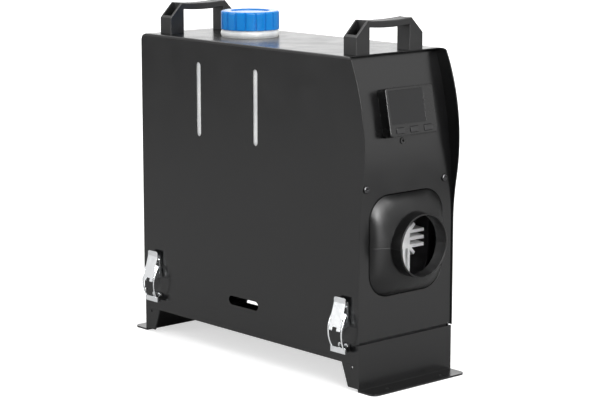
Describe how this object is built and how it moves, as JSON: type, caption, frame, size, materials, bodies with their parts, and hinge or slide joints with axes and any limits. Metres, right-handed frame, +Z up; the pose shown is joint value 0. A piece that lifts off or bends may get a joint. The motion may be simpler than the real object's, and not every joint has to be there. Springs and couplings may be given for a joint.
{
  "type": "diesel air heater",
  "caption": "Portable fuel-fired air heater in an upright folded-steel case with its own tank, carry handles, draw latches, a controller and a round warm-air outlet.",
  "frame": {"origin": "on the floor, at the middle of the rectangle of the four foot bolts, under the middle of the case", "axes": "+X out of the warm-air outlet, +Z up, -Y the side with the fuel-level slots"},
  "size_m": [0.4512, 0.182, 0.421],
  "materials": {
    "black_steel": "satin-gloss black powder coat",
    "inner_steel": "satin black paint",
    "black_screws": "black zinc",
    "handle_plastic": "fine-grained black nylon",
    "tank_plastic": "translucent white polyethylene",
    "cap_plastic": "glossy blue",
    "seal_rubber": "smooth black rubber",
    "controller_plastic": "semi-gloss black",
    "controller_board": "green board and black switches",
    "screen": "dark glossy display window",
    "button_plastic": "satin dark grey",
    "outlet_plastic": "satin black glass-filled nylon",
    "casing_plastic": "satin black",
    "cast_aluminium": "as-cast, bright",
    "heat_steel": "heat-resisting steel",
    "plug_steel": "zinc plated",
    "gasket": "graphite grey",
    "zinc_steel": "bright zinc plated",
    "motor_steel": "grey paint",
    "bronze": "sintered bronze",
    "fan_plastic": "satin black",
    "unit_plastic": "satin dark grey",
    "filter_plastic": "clear-white nylon",
    "hose_rubber": "black fuel hose",
    "latch_zinc": "bright zinc plated, polished"
  },
  "bodies": {
    "case": {"upper_shell": "black_steel", "front_panel": "black_steel", "rear_panel": "black_steel", "base_tray": "black_steel", "front_foot": "black_steel", "rear_foot": "black_steel", "front_bulkhead": "inner_steel", "rear_bulkhead": "inner_steel", "tank_shelf": "inner_steel", "panel_screws": "black_screws", "front_handle": "handle_plastic", "rear_handle": "handle_plastic", "handle_screws": "zinc_steel", "fuel_tank": "tank_plastic", "controller_case": "controller_plastic", "controller_back": "controller_board", "controller_screen": "screen", "cable_grommet": "seal_rubber", "outlet_hood": "outlet_plastic", "lower_casing": "casing_plastic", "upper_casing": "casing_plastic", "heat_exchanger": "cast_aluminium", "combustion_chamber": "heat_steel", "glow_plug": "plug_steel", "mount_gasket": "gasket", "heater_cradle": "inner_steel", "cradle_nuts": "zinc_steel", "blower_housing": "cast_aluminium", "blower_motor": "motor_steel", "motor_bushes": "bronze", "control_unit": "unit_plastic", "inlet_cowl": "casing_plastic", "inlet_grille": "casing_plastic", "fuel_filter": "filter_plastic", "fuel_pump": "plug_steel", "pump_clamp": "seal_rubber", "feed_hose": "hose_rubber", "pump_hose": "hose_rubber", "heater_hose": "hose_rubber", "power_gland": "casing_plastic", "latch_bases": "latch_zinc", "latch_pins": "latch_zinc", "latch_keepers": "latch_zinc", "latch_rivets": "zinc_steel"},
    "filler_cap": {"filler_cap": "cap_plastic"},
    "cap_seal": {"cap_seal": "seal_rubber"},
    "rotor": {"rotor_shaft": "plug_steel", "fan_wheel": "fan_plastic", "combustion_impeller": "cast_aluminium"},
    "button_left": {"button_left": "button_plastic"},
    "button_middle": {"button_middle": "button_plastic"},
    "button_right": {"button_right": "button_plastic"},
    "lever_front_right": {"latch_lever_front_right": "latch_zinc"},
    "bail_front_right": {"latch_bail_front_right": "latch_zinc"},
    "lever_front_left": {"latch_lever_front_left": "latch_zinc"},
    "bail_front_left": {"latch_bail_front_left": "latch_zinc"},
    "lever_rear_right": {"latch_lever_rear_right": "latch_zinc"},
    "bail_rear_right": {"latch_bail_rear_right": "latch_zinc"},
    "lever_rear_left": {"latch_lever_rear_left": "latch_zinc"},
    "bail_rear_left": {"latch_bail_rear_left": "latch_zinc"}
  },
  "joints": [
    {"name": "press_left", "type": "slide", "parent": "case", "child": "button_left", "axis": [-0.9805, 0, -0.1964], "range_m": [0, 0.0006], "stiffness_N_per_m": 400, "springref_m": -0.003},
    {"name": "press_middle", "type": "slide", "parent": "case", "child": "button_middle", "axis": [-0.9805, 0, -0.1964], "range_m": [0, 0.0006], "stiffness_N_per_m": 400, "springref_m": -0.003},
    {"name": "press_right", "type": "slide", "parent": "case", "child": "button_right", "axis": [-0.9805, 0, -0.1964], "range_m": [0, 0.0006], "stiffness_N_per_m": 400, "springref_m": -0.003},
    {"name": "cap_rise", "type": "slide", "parent": "case", "child": "cap_seal", "axis": [0, 0, 1], "range_m": [0, 0.01]},
    {"name": "cap_turn", "type": "hinge", "parent": "cap_seal", "child": "filler_cap", "pos_m": [-0.078, 0, 0.4], "axis": [0, 0, 1], "range_deg": [0, 900]},
    {"name": "blower_spin", "type": "hinge", "parent": "case", "child": "rotor", "pos_m": [-0.1, 0, 0.165], "axis": [1, 0, 0], "continuous": true},
    {"name": "latch_front_right", "type": "hinge", "parent": "case", "child": "lever_front_right", "pos_m": [0.174, -0.0845, 0.077], "axis": [1, 0, 0], "range_deg": [0, 90]},
    {"name": "bail_swing_front_right", "type": "hinge", "parent": "lever_front_right", "child": "bail_front_right", "pos_m": [0.174, -0.0827, 0.0896], "axis": [1, 0, 0], "range_deg": [-70.2, 0]},
    {"name": "latch_front_left", "type": "hinge", "parent": "case", "child": "lever_front_left", "pos_m": [0.174, 0.0845, 0.077], "axis": [-1, 0, 0], "range_deg": [0, 90]},
    {"name": "bail_swing_front_left", "type": "hinge", "parent": "lever_front_left", "child": "bail_front_left", "pos_m": [0.174, 0.0827, 0.0896], "axis": [-1, 0, 0], "range_deg": [-70.2, 0]},
    {"name": "latch_rear_right", "type": "hinge", "parent": "case", "child": "lever_rear_right", "pos_m": [-0.174, -0.0845, 0.077], "axis": [1, 0, 0], "range_deg": [0, 90]},
    {"name": "bail_swing_rear_right", "type": "hinge", "parent": "lever_rear_right", "child": "bail_rear_right", "pos_m": [-0.174, -0.0827, 0.0896], "axis": [1, 0, 0], "range_deg": [-70.2, 0]},
    {"name": "latch_rear_left", "type": "hinge", "parent": "case", "child": "lever_rear_left", "pos_m": [-0.174, 0.0845, 0.077], "axis": [-1, 0, 0], "range_deg": [0, 90]},
    {"name": "bail_swing_rear_left", "type": "hinge", "parent": "lever_rear_left", "child": "bail_rear_left", "pos_m": [-0.174, 0.0827, 0.0896], "axis": [-1, 0, 0], "range_deg": [-70.2, 0]}
  ],
  "couplings": [
    {"joint": "cap_rise", "follows": "cap_turn", "m_per_rad": 0.00063662},
    {"joint": "bail_swing_front_right", "follows": "latch_front_right", "ratio": -0.78},
    {"joint": "bail_swing_front_left", "follows": "latch_front_left", "ratio": -0.78},
    {"joint": "bail_swing_rear_right", "follows": "latch_rear_right", "ratio": -0.78},
    {"joint": "bail_swing_rear_left", "follows": "latch_rear_left", "ratio": -0.78}
  ]
}
